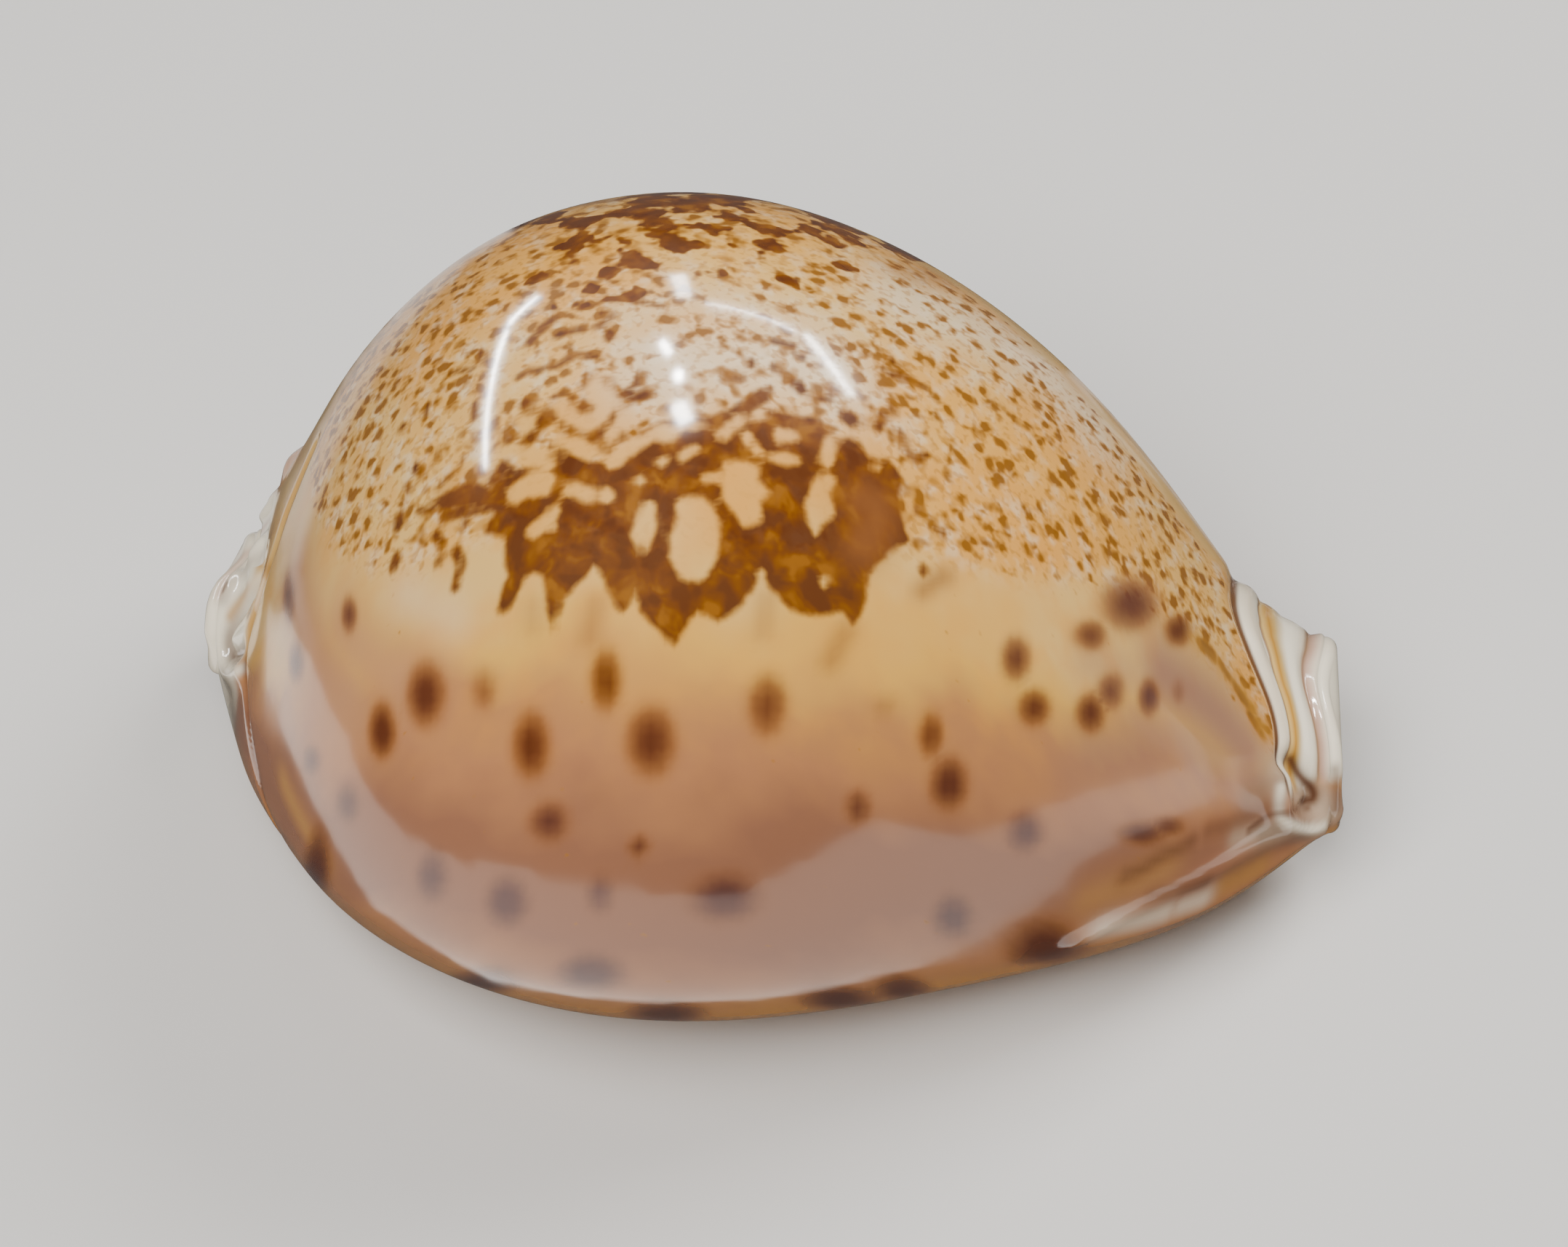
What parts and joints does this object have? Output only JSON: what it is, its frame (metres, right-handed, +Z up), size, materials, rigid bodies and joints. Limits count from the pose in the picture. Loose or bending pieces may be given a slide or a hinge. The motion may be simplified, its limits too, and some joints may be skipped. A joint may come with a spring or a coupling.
{
  "type": "cowrie shell",
  "caption": "Glossy egg-shaped sea shell, hollow, with a toothed slit along its base and a spotted, netted back; rests on its base.",
  "frame": {"origin": "on the surface it rests on, under the middle of the bounding box", "axes": "+Z up, +X from the spire end towards the siphon end, -Y towards the outer lip"},
  "size_m": [0.0846, 0.0598, 0.0508],
  "materials": {
    "shell": "glossy natural enamel, cream and tan with brown net and spots"
  },
  "bodies": {
    "root": {"shell": "shell"}
  },
  "joints": []
}
